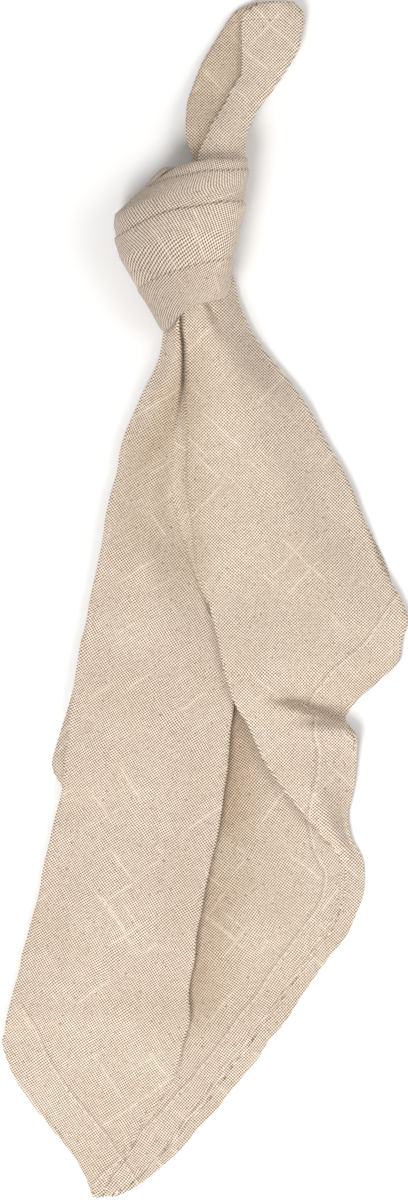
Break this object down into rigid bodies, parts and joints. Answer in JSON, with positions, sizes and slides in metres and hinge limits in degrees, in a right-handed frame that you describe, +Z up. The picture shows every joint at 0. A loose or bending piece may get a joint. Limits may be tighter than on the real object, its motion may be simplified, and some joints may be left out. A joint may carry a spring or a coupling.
{
  "type": "knotted cloth napkin",
  "caption": "Hemmed square linen napkin in natural oatmeal, tied in an overhand knot near one corner and laid flat in soft lengthwise folds.",
  "frame": {"origin": "Middle of the underside, on the surface that the napkin rests on.", "axes": "+Z up from the surface, +Y along the length towards the knotted corner, +X across to the side of the wider lobe."},
  "size_m": [0.175, 0.515, 0.0304],
  "materials": {
    "linen": "matt slubby plain weave"
  },
  "bodies": {
    "root": {"napkin": "linen"}
  },
  "joints": []
}
